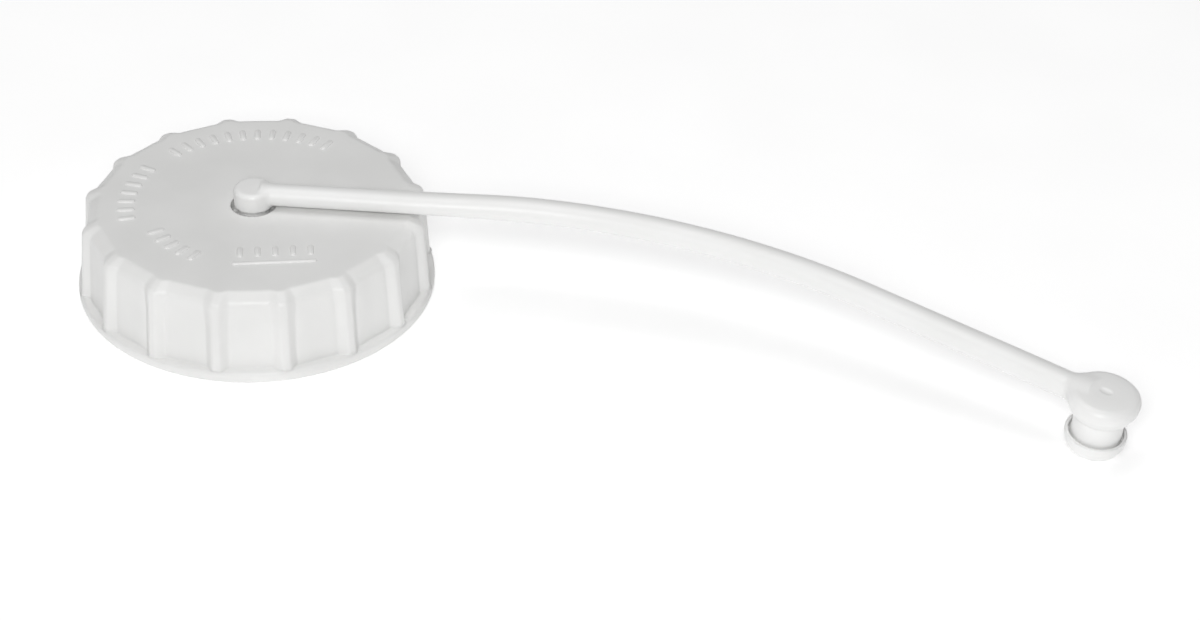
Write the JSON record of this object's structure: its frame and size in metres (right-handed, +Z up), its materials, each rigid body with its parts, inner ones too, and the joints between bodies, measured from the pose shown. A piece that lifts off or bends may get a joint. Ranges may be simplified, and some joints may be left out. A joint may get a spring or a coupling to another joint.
{
  "type": "deck fill cap",
  "caption": "Round screw cap with vertical grip ribs, a sealing ring inside, and a flexible tether strap that swivels at the cap's centre and ends in a snap-in anchor plug.",
  "frame": {"origin": "centre of the cap's open mouth, on the plane of its lower rim, where the cap screws onto the neck", "axes": "+Z up along the cap's screw axis through its top; +X the way the tether strap leaves the cap"},
  "size_m": [0.1859, 0.0907, 0.0211],
  "materials": {
    "cap_plastic": "satin moulded, white",
    "tether_plastic": "smooth flexible moulding, white",
    "seal_rubber": "matt moulded ring, black"
  },
  "bodies": {
    "cap": {"cap_shell": "cap_plastic", "sealing_gasket": "seal_rubber"},
    "tether_root": {"tether_swivel_end": "tether_plastic"},
    "tether_inner": {"tether_inner_span": "tether_plastic"},
    "tether_outer": {"tether_outer_span": "tether_plastic"},
    "tether_end": {"tether_plug_end": "tether_plastic"}
  },
  "joints": [
    {"name": "tether_swivel", "type": "hinge", "parent": "cap", "child": "tether_root", "pos_m": [0, 0, 0.0175], "axis": [0, 0, 1], "continuous": true},
    {"name": "tether_flex_inner", "type": "hinge", "parent": "tether_root", "child": "tether_inner", "pos_m": [0.04177, -0.00439, 0.019], "axis": [-0.1102, -0.9939, 0], "range_deg": [-50, 50], "stiffness_Nm_per_rad": 0.03},
    {"name": "tether_flex_middle", "type": "hinge", "parent": "tether_inner", "child": "tether_outer", "pos_m": [0.07866, -0.01304, 0.01798], "axis": [-0.3432, -0.9393, 0], "range_deg": [-50, 50], "stiffness_Nm_per_rad": 0.03},
    {"name": "tether_flex_outer", "type": "hinge", "parent": "tether_outer", "child": "tether_end", "pos_m": [0.11238, -0.03013, 0.01508], "axis": [-0.5329, -0.8462, 0], "range_deg": [-50, 50], "stiffness_Nm_per_rad": 0.03}
  ]
}
